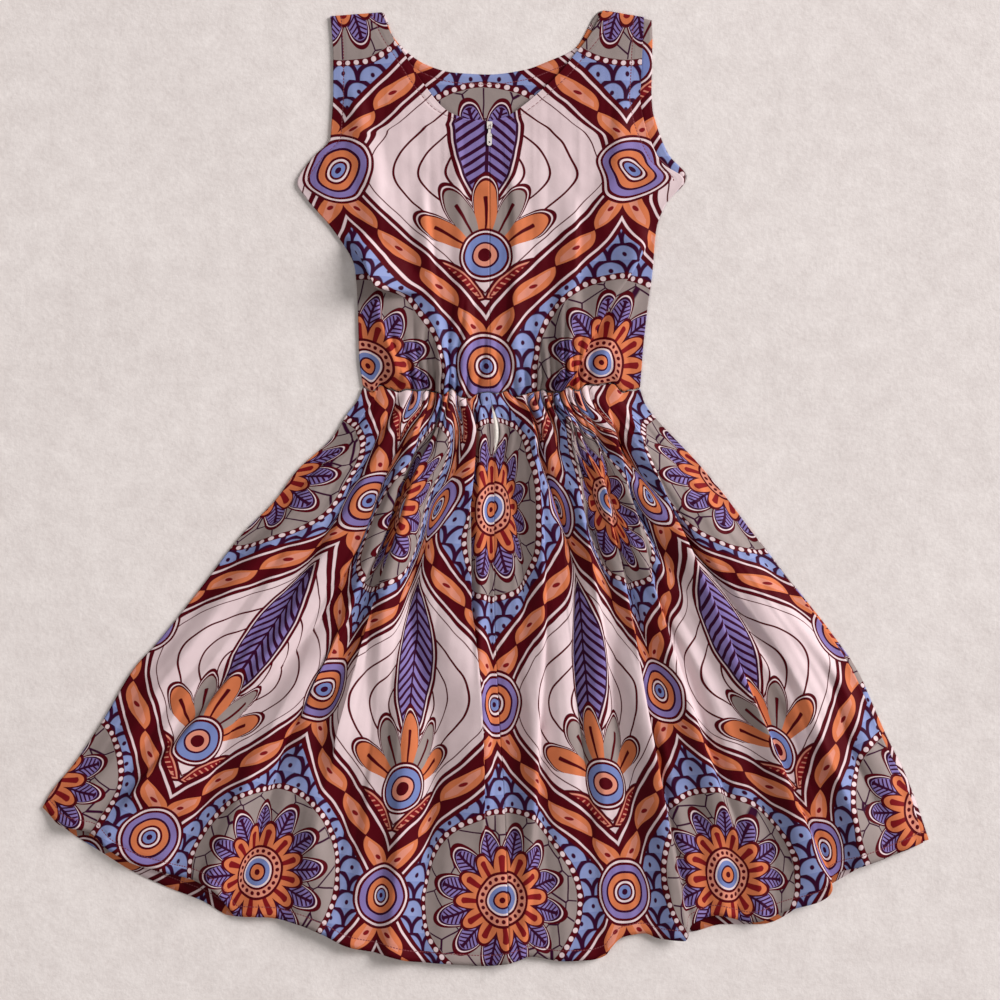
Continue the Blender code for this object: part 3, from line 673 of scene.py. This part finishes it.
def fold(x, y, row):
    """Height of one fold at each place, and how far its crest leans over its steep side."""
    f = dict(zip(FOLD_COLUMNS, row))
    span = f["top_y"] - f["low_y"]
    t = (f["top_y"] - y) / span
    mid = (f["top_y"] - f["mid_y"]) / span
    bow = (f["mid_x"] - f["top_x"] - mid * (f["low_x"] - f["top_x"])) / (mid * (mid - 1))
    inside = np.clip(t, 0.0, 1.0)
    crest = f["top_x"] + inside * (f["low_x"] - f["top_x"]) + bow * inside * (inside - 1)
    slope = (f["low_x"] - f["top_x"] + bow * (2 * inside - 1)) / span
    crest = crest + slope * (t - inside) * span
    across = (x - crest) / np.sqrt(1 + slope**2)
    widen = TOP_WIDTH + (1 - TOP_WIDTH) * inside
    width = np.where(across < 0, f["left"], f["right"]) * widen
    height = f["top_h"] + (f["low_h"] - f["top_h"]) * inside
    fade = smoothstep((f["top_y"] + f["fade_top"] * 0.5 - y) / f["fade_top"])
    if f["fade_low"] > 0:
        fade = fade * smoothstep((y - f["low_y"] + f["fade_low"] * 0.5) / f["fade_low"])
    rise = FOLD_FULLNESS * height * fade * smoothstep(1 - np.abs(across) / width)
    lean = LEAN * rise * (f["left"] - f["right"]) / (f["left"] + f["right"])
    return rise, lean


def drawn_in(across, slack):
    """Across the waist, pulled together where the gathers crowd, by less where the cloth has slack."""
    pulled = 0.55 * across + sum(0.1125 * (1 + np.tanh((across - crowd) / CROWD_WIDTH)) for crowd in CROWDS)
    return pulled + (across - pulled) * slack


def ridges(phase, seed, weak, strong, short, long):
    """Round ridges with sharp valleys, one to each unit of phase, how far each runs and how it leans."""
    each = np.random.default_rng(seed).uniform(0.0, 1.0, (3, 64))
    number = np.floor(phase + 8.5).astype(int) % 64
    strength = weak + (strong - weak) * each[0, number]
    height = np.abs(np.cos(math.pi * phase)) ** 0.75 * strength
    return height, short + (long - short) * each[1, number], 1.3 * each[2, number] - 0.3


def gather(across, y):
    """Height of the gathers on either side of the waist seam."""
    below, above = np.maximum(WAIST_Y - y, 0.0), np.maximum(y - WAIST_Y, 0.0)
    slack = smoothstep(below / SLACK_BELOW) + smoothstep(above / SLACK_ABOVE)
    phase = GATHERS * drawn_in(across, slack) + 0.40 * np.sin(9.0 * across + 0.7)
    phase = phase + 0.45 * lumps(across * 12, (below + above) / (45 * MM), 9)
    ridge, run, _ = ridges(phase, 11, 0.30, 1.25, 0.5, 1.8)
    crowd = 0.40 + 0.60 * sum(np.exp(-(((across - place) / CROWD_REACH) ** 2)) for place in CROWDS)
    skirt = SKIRT_GATHER * smoothstep(below / SKIRT_GATHER_PEAK)
    skirt = skirt * (1 - smoothstep((below - SKIRT_GATHER_PEAK) / (SKIRT_GATHER_LENGTH * run)))
    bodice = BODICE_GATHER * smoothstep(above / BODICE_GATHER_PEAK)
    bodice = bodice * (1 - smoothstep((above - BODICE_GATHER_PEAK) / (BODICE_GATHER_LENGTH * run)))
    seam = GATHER_AT_SEAM * np.exp(-(((y - WAIST_Y) / SKIRT_GATHER_PEAK) ** 2))
    return ridge * crowd * (skirt + bodice + seam)


def flute(across, y):
    """Height of the long folds that the gathers run out into, down the skirt, and their lean."""
    below = np.maximum(WAIST_Y - y, 0.0)
    down = below / SKIRT_LENGTH
    phase = FLUTES * drawn_in(across, smoothstep(down / 0.6)) + 0.30 * np.sin(7.0 * across)
    phase = phase + 0.55 * lumps(across * 6, down * 3.0, 61)
    ridge, run, tilt = ridges(phase, 17, 0.40, 1.20, 0.40, 1.50)
    height = FLUTE_TOP + (FLUTE_MID - FLUTE_TOP) * smoothstep(down / 0.3)
    height = height - (FLUTE_MID - FLUTE_HEM) * smoothstep((down - 0.45) / 0.5)
    fade = smoothstep(below / FLUTE_START) * (1 - 0.85 * smoothstep((down - 0.8 * run) / 0.35))
    height = ridge * height * fade
    return height, FLUTE_LEAN * tilt * height


def pressed(across, y):
    """Height of the flat, crisp facets that the cloth lies in between its folds, down to the hem."""
    below = np.maximum(WAIST_Y - y, 0.0)
    down = below / SKIRT_LENGTH
    phase = PRESSED * drawn_in(across, smoothstep(down / 0.8)) + 0.5 * lumps(across * 9, down * 2.0, 71)
    number = np.floor(phase)
    each = np.random.default_rng(72).uniform(0.0, 1.0, (2, 64))[:, number.astype(int) % 64]
    peak, within = 0.25 + 0.5 * each[0], phase - number
    facet = np.minimum(within / peak, (1 - within) / (1 - peak)) * (0.25 + 0.75 * each[1])
    return PRESSED_HEIGHT * facet * smoothstep(below / PRESSED_FROM) * (0.3 + 0.7 * smoothstep(down / 0.7))


def seam_x(y):
    """Where the centre-back seam is at a given height."""
    order = np.argsort(CENTRE_SEAM[:, 1])
    return np.interp(y, CENTRE_SEAM[order, 1], CENTRE_SEAM[order, 0])


def drape(x, y, edge, across, folds, loft):
    """Height above the front pieces, and the sideways lean, at each place of a back piece.

    edge is the distance from the piece's own side, where it comes down to the front piece.
    """
    side = smoothstep(edge / LOFT_FADE)
    rise = np.zeros_like(x)
    lean = np.zeros_like(x)
    for row in folds:
        one, shift = fold(x, y, row)
        rise = rise + one
        lean = lean + shift
    long_fold, shift = flute(across, y)
    rise, lean = np.hypot(rise, long_fold), lean + shift
    settle = 1 - HEM_SETTLE * smoothstep(((WAIST_Y - y) / SKIRT_LENGTH - SETTLE_FROM) / (1 - SETTLE_FROM))
    rise, lean = rise * settle, lean * settle
    over_tape = TAPE_LOFT * (1 - smoothstep((np.abs(x) - TAPE_REACH) / TAPE_FADE))
    still = smoothstep(np.abs(x - seam_x(y)) / SEAM_STILL)
    height = np.maximum(over_tape, side * loft) + side * (rise + gather(across, y) + pressed(across, y))
    return height, lean * side * still


def parting(y):
    """How far the right skirt piece is drawn back from the seam over the end of the zip."""
    t = (PART_TOP - y) / (PART_TOP - PART_END)
    return PART_WIDTH * np.where((t > 0) & (t < 1), np.sin(math.pi * np.clip(t, 0, 1)) ** 2, 0.0)


def skirt_loft(v):
    """Height of the caught air down the skirt: drawn in at the waist, fullest just below it."""
    fills = (SKIRT_LOFT - WAIST_LOFT) * smoothstep(v / LOFT_FULL_AT)
    falls = SKIRT_LOFT * (1 - HEM_LOFT_SHARE) * smoothstep((v - LOFT_FALLS_FROM) / (1 - LOFT_FALLS_FROM))
    return WAIST_LOFT + fills - falls


def waist_seam(across, y):
    """How far the cloth sinks into the waist seam, and how far the gathers push the seam up or down."""
    off = y - WAIST_Y
    sink = SEAM_SINK * np.exp(-((off / SEAM_SINK_REACH) ** 2))
    push = lumps(across * 31, np.zeros_like(across), 5) + 1.1 * lumps(across * 8, np.zeros_like(across), 6)
    return sink, SEAM_WAVE * push * np.exp(-np.abs(off) / SEAM_WAVE_REACH)


def soft_creases(across, v, x, y, seed, long, short):
    """The small creases between the folds: long ones down the cloth, and short crumples."""
    run = lumps(across * 60, v * 2.2, seed) * 1.3 + lumps(across * 130, v * 4.5, seed + 1) * 0.6
    crumple = lumps(x / (24 * MM), y / (30 * MM), seed + 2) * 0.6
    crumple = crumple + lumps(x / (9 * MM), y / (12 * MM), seed + 3) * 0.22
    return run * long + crumple * short


def skirt_top(x, y, across, v, edge):
    """The top of the back skirt over each place: its height, its lean, and the waist seam's wave."""
    height, lean = drape(x, y, edge, across, SKIRT_FOLDS, skirt_loft(v))
    calm = smoothstep(edge / (25 * MM)) * smoothstep(v / 0.08)
    sink, wave = waist_seam(across, y)
    height = height + (soft_creases(across, v, x, y, 20, 0.8 * MM, 1.0 * MM) + 0.6 * MM) * calm - sink
    return BACK_Z + CLOTH + np.maximum(height, 0.0), lean, wave


for side, name, node, outer, hem in (
    (-1, "back_skirt_left_panel", "skirt_back_left", LEFT_SIDE, LEFT_HEM),
    (1, "back_skirt_right_panel", "skirt_back_right", RIGHT_SIDE, RIGHT_HEM[::-1]),
):
    def skirt_back_place(u, v, shape, side=side, outer=outer, hem=hem):
        def seam(t):
            points = along(CENTRE_SEAM)(t)
            points[:, 0] += side * SEAM + (parting(points[:, 1]) if side > 0 else 0.0)
            return points

        waist = np.array([outer[0], CENTRE_SEAM[0]])
        flat = coons(along(outer), seam, along(waist), along(hem), u, v)
        x, y = flat[:, 0], np.minimum(flat[:, 1], WAIST_Y - SEAM)
        edge_point = along(outer)(v)
        edge = np.hypot(x - edge_point[:, 0], y - edge_point[:, 1])
        share = abs(outer[0, 0]) / WAIST_WIDTH
        across = u * share if side < 0 else 1 - u * share
        z, lean, wave = skirt_top(x, y, across, v, edge)
        points = np.stack([x + lean, y + wave, z], axis=1).reshape(*shape, 3)
        from_outer = cloth_width(points, BACK_SKIRT_CUT[0])
        across_cloth = side * (from_outer[:, -1:] - from_outer)
        steps = np.hypot(*np.moveaxis(np.diff(flat.reshape(*shape, 2), axis=0), 2, 0))
        down = np.concatenate([np.zeros((1, shape[1])), np.cumsum(steps, axis=0)])
        cloth = np.stack([across_cloth, 0.12 - down], axis=2)
        border = np.stack([across_cloth, down[-1:] - down], axis=2)
        return points, cloth, border

    panel = cloth_piece(name, 210, 170, skirt_back_place, 0.9 * MM, row_power=1.35)
    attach(panel, "dress")
    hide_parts(node)


# Front bodice: one piece with two straps round the scooped neck, its inner face up. It lies on
# the floor under the back bodice, and shows inside the neck and along the right armhole.
FRONT_BODICE_TOP = 1.0 * MM
FRONT_NECK = np.array([
    # x, y
    (-113, 499), (-102, 475), (-87, 458), (-66, 444), (-38, 436), (0, 434),
    (37, 439), (62, 448), (89, 461), (119, 501),
]) * MM
FRONT_ARMHOLE = np.array([
    # x, y
    (170, 491), (171, 470), (170, 416), (171, 398), (175, 382), (188, 350), (207, 326),
]) * MM

# Back bodice from shoulder to waist: armhole and side edge, then neck and centre-back edge
LEFT_BODICE = np.array([
    # outer_x, outer_y, inner_x, inner_y
    (-167, 495, -113, 499),
    (-165, 472, -102, 474),
    (-164, 449, -88, 453),
    (-164, 418, -67, 421),
    (-165, 395, -45, 396),
    (-166, 380, -24, 387),
    (-167, 367, -1, 384),
    (-187, 345, 0, 355),
    (-202, 320, 0, 326),
    (-193, 305, 0, 302),
    (-162, 268, 0, 262),
    (-141, 229, 0, 227),
    (-138, 181, 0, 181),
    (-137, 140, 0, 140),
    (-133, 104, 0, 103),
]) * MM
RIGHT_BODICE = np.array([
    # outer_x, outer_y, inner_x, inner_y
    (162, 494, 119, 501),
    (161, 470, 106, 476),
    (160, 452, 91, 457),
    (159, 430, 74, 436),
    (158, 410, 53, 416),
    (160, 395, 34, 400),
    (164, 378, 17, 389),
    (170, 362, 1, 384),
    (181, 341, 0, 357),
    (204, 323, 0, 328),
    (184, 296, 0, 302),
    (175, 271, 0, 269),
    (171, 227, 0, 227),
    (165, 182, 0, 181),
    (161, 144, 0, 143),
    (158, 104, 0, 103),
]) * MM


def bodice_front_place(u, v, shape):
    inset = np.array([1.0 * MM, 0.0])
    left = LEFT_BODICE[:, :2] + inset
    right = np.vstack([FRONT_ARMHOLE, RIGHT_BODICE[10:, :2] - inset])
    top = np.vstack([left[:1], FRONT_NECK, right[:1]])
    flat = coons(along(left), along(right), along(top), along(np.array([left[-1], right[-1]])), u, v)
    x, y = flat[:, 0], np.maximum(flat[:, 1], WAIST_Y + SEAM)
    z = np.full_like(x, FRONT_BODICE_TOP) + 0.15 * MM * lumps(x / (25 * MM), y / (30 * MM), 7)
    points = np.stack([x, y, z], axis=1).reshape(*shape, 3)
    cloth = np.stack([x, y - 0.335], axis=1).reshape(*shape, 2)
    sides = np.minimum(u, 1 - u) * 0.33
    border = np.stack([x + y, np.minimum(sides, v * 0.38)], axis=1).reshape(*shape, 2)
    return points, cloth, border


bodice_front = cloth_piece("front_bodice_panel", 110, 90, bodice_front_place, 0.8 * MM)
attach(bodice_front, "dress")
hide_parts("bodice_front")


# Back bodice: two halves of the same cotton that meet at the zip, with a lower V-shaped neck.
# They are gathered into the waist seam, and drag folds run to it from under the arms.
BODICE_LOFT, BODICE_LOFT_FULL = 3.0 * MM, 30 * MM
STRAP_START, STRAP_FADE, STRAP_SHARE = 400 * MM, 80 * MM, 0.15
NECK_CORNER_Y = 384.5 * MM
ZIP_PUCKER = 0.8 * MM
UNDERARM_Y = 322 * MM
PULL, PULL_PITCH, PULL_SWAY, PULL_REACH = 1.9 * MM, 25 * MM, 3.0 * MM, 85 * MM
PULL_FROM, PULL_FADE = 380 * MM, 120 * MM
BODICE_FOLDS = np.array([
    (-164, 264, -132, 244, -100, 204, 8, 34, 14, 17, 20, 10),
    (-122, 204, -114, 160, -92, 112, 30, 12, 5, 6, 30, 16),
    (172, 268, 123, 203, 77, 108, 46, 12, 12, 8, 34, 20),
    (150, 196, 128, 160, 112, 112, 24, 14, 5, 6, 30, 20),
    (-70, 300, -62, 210, -48, 116, 22, 13, 3, 5, 70, 16),
    (88, 290, 86, 220, 80, 150, 26, 13, 4, 4, 70, 50),
    (-150, 420, -128, 345, -112, 262, 30, 26, 3, 3, 60, 60),
    (148, 420, 136, 350, 118, 268, 26, 30, 3, 3, 60, 60),
    (-34, 360, -30, 250, -24, 130, 22, 14, 2, 3, 60, 60),
    (22, 345, 30, 240, 22, 128, 14, 24, 2, 3, 60, 60),
]) * MM


def zip_pulls(x, y):
    """Soft upright folds beside the zip, that the gathered waist pulls into the cloth."""
    sway = PULL_SWAY * lumps(np.zeros_like(y), y / (55 * MM), 51)
    strength = 0.7 + 0.5 * lumps(x / PULL_PITCH, y / (80 * MM), 52)
    fade = np.exp(-((x / PULL_REACH) ** 2)) * smoothstep((PULL_FROM - y) / PULL_FADE)
    fade = fade * smoothstep((y - WAIST_Y) / (25 * MM))
    return PULL * strength * fade * (0.5 + 0.5 * np.cos(2 * math.pi * (x + sway) / PULL_PITCH))


for side, name, node, table in (
    (-1, "back_bodice_left_panel", "bodice_back_left", LEFT_BODICE),
    (1, "back_bodice_right_panel", "bodice_back_right", RIGHT_BODICE),
):
    def bodice_back_place(u, v, shape, side=side, table=table):
        outer, inner = table[:, :2].copy(), table[:, 2:].copy()
        inner[inner[:, 1] < NECK_CORNER_Y, 0] += side * SEAM
        knots = (chord(outer) + chord(inner)) / 2
        a, b = smooth_curve(knots, outer, v), smooth_curve(knots, inner, v)
        flat = a + (b - a) * u[:, None]
        x, y = flat[:, 0], np.maximum(flat[:, 1], WAIST_Y + SEAM)
        width = np.hypot(*(b - a).T)
        edge = u * width
        across = (x - WAIST_LEFT) / WAIST_WIDTH
        flatten = 1 - (1 - STRAP_SHARE) * smoothstep((y - STRAP_START) / STRAP_FADE)
        loft = WAIST_LOFT + (BODICE_LOFT - WAIST_LOFT) * smoothstep((y - WAIST_Y) / BODICE_LOFT_FULL)
        height, lean = drape(x, y, edge, across, BODICE_FOLDS, loft)
        calm = smoothstep(edge / (20 * MM)) * smoothstep((width - edge) / (10 * MM))
        calm = calm * smoothstep((y - WAIST_Y) / (30 * MM))
        sink, wave = waist_seam(across, y)
        height = height + (soft_creases(across * 0.6, v, x, y, 40, 0.3 * MM, 1.1 * MM) + 0.4 * MM) * calm - sink
        height = height + ZIP_PUCKER * lumps(np.zeros_like(y), y / (12 * MM), 44) * np.exp(-np.abs(x) / (15 * MM))
        height = height + zip_pulls(x, y)
        z = BACK_Z + CLOTH + np.maximum(height, 0.0) * flatten
        points = np.stack([x + lean, y + wave, z], axis=1).reshape(*shape, 3)
        from_outer = cloth_width(points, 0.0)
        seam_side = from_outer[:, -1:] - from_outer
        inner_x = b[:, 0].reshape(shape)
        across_cloth = inner_x + side * seam_side
        up = (y - WAIST_Y).reshape(shape)
        cloth = np.stack([across_cloth + REPEAT_WIDTH / 2, up - 0.235 + REPEAT_HEIGHT / 2], axis=2)
        to_neck = np.where(y > NECK_CORNER_Y, width - edge, 1.0)
        to_armhole = np.where(y > UNDERARM_Y, edge, 1.0)
        border = np.stack([y, np.minimum(to_armhole, to_neck)], axis=1).reshape(*shape, 2)
        return points, cloth, border

    panel = cloth_piece(name, 120, 190, bodice_back_place, 0.9 * MM)
    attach(panel, "dress")
    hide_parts(node)


# Zip tape: off-white woven polyester, sewn behind the centre-back seam. Its lower tail bulges up
# between the two panels, where the seam parts over it.
TAPE_TOP, TAPE_END, TAPE_WIDTH, TAPE_THICK = 381 * MM, -6 * MM, 20 * MM, 0.8 * MM
TAPE_UNDER_CLOTH, TAPE_CROWN, TAPE_CROWN_REACH = 1.2 * MM, 1.8 * MM, 3.4 * MM
TAPE_BULGE_X, TAPE_BULGE, TAPE_BULGE_EDGE = 6.5 * MM, 4.5 * MM, 5.0 * MM
tape, tape_shader, wire = finish_named("zip_tape_weave", 0.75, specular=0.3)
tape_x, tape_y = wire.node("ShaderNodeTexCoord", output=3).split()
ribs = abs((tape_y + abs(tape_x)).part(0.0012)).below(0.0003, 0.0004)
feed(
    tape_shader,
    Base_Color=ribs.mix(screen(250, 244, 236), screen(228, 218, 208)),
    Normal=ribs.bump(0.3 * MM, 0.8),
)


def tape_place(u, v, shape):
    x, y = (u - 0.5) * TAPE_WIDTH, TAPE_TOP + v * (TAPE_END - TAPE_TOP)
    left, right = (np.interp(y, edge[::-1, 1], edge[::-1, 0]) for edge in (LEFT_SIDE, RIGHT_SIDE))
    from_left, from_right = seam_x(y), seam_x(y) + parting(y)
    share = -WAIST_LEFT / WAIST_WIDTH
    of_right = np.minimum(right - x, right - from_right) / (right - from_right)
    across = np.where(x < from_left, share * (x - left) / (from_left - left), 1 - (1 - share) * of_right)
    below = np.maximum(WAIST_Y - y, 0.0)
    under = skirt_top(x, y, across, below / SEAM_LENGTH, np.ones_like(x))[0] - TAPE_UNDER_CLOTH
    lift = smoothstep(below / (14 * MM)) * smoothstep((y - TAPE_END) / (24 * MM))
    lift = lift * (1 - smoothstep((np.abs(x - TAPE_BULGE_X) - TAPE_BULGE) / TAPE_BULGE_EDGE))
    low = BACK_Z + TAPE_THICK
    middle = (from_left + from_right) / 2
    crown = TAPE_CROWN * parting(y) / PART_WIDTH * (1 - smoothstep(np.abs(x - middle) / TAPE_CROWN_REACH))
    z = low + np.maximum(under - low, 0.0) * lift + crown
    places = np.stack([x, y], axis=1).reshape(*shape, 2)
    return np.stack([x, y, z], axis=1).reshape(*shape, 3), places, places


zip_tape = cloth_piece("zip_tape_strip", 24, 200, tape_place, TAPE_THICK)
zip_tape.data.materials[0] = tape
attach(zip_tape, "dress")
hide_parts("zip_tape")


# Zip coil: one nylon thread wound into teeth along the middle of the tape, under the seam.
COIL_TOP, COIL_END, COIL_PITCH = 370 * MM, 104 * MM, 1.25 * MM
COIL_Z = 2.34 * MM
bm = bmesh.new()
for k in range(int((COIL_TOP - COIL_END) / COIL_PITCH)):
    tooth = bmesh.ops.create_cube(bm, size=1.0)["verts"]
    bmesh.ops.scale(bm, vec=(3.4 * MM, 0.7 * MM, 0.5 * MM), verts=tooth)
    bmesh.ops.translate(bm, vec=(0.0, COIL_END + k * COIL_PITCH, COIL_Z + 0.27 * MM), verts=tooth)
bmesh.ops.bevel(
    bm, geom=list(bm.edges), offset=0.14 * MM, segments=1, profile=0.5, affect="EDGES", material=-1
)
mesh = bpy.data.meshes.new("zip_coil")
bm.to_mesh(mesh)
bm.free()
mesh.shade_smooth()
coil = bpy.data.objects.new("zip_coil", mesh)
bpy.context.scene.collection.objects.link(coil)
nylon, nylon_shader, wire = finish_named("coil_nylon", 0.45)
place = wire.node("ShaderNodeTexCoord", output=3)
feed(nylon_shader, Base_Color=place.noise(300.0).mix(screen(228, 220, 210), screen(204, 194, 184)))
mesh.materials.append(nylon)
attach(coil, "dress")


# Zip slider and pull tab: die-cast metal under pale enamel, a little worn in small scattered spots.
enamel, enamel_shader, wire = finish_named("zip_enamel", 0.35)
place = wire.node("ShaderNodeTexCoord", output=3)
worn = place.noise(900.0, 3.0)
chipped = worn.below(0.36, 0.06)
feed(
    enamel_shader,
    Base_Color=chipped.mix(screen(226, 219, 212), screen(150, 146, 142)),
    Metallic=chipped,
    Roughness=worn.scaled(0.35, 0.18),
    Normal=worn.bump(0.06 * MM, 0.6),
)
for node in ("zip_slider", "zip_tab"):
    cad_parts[node].data.materials.clear()
    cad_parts[node].data.materials.append(enamel)
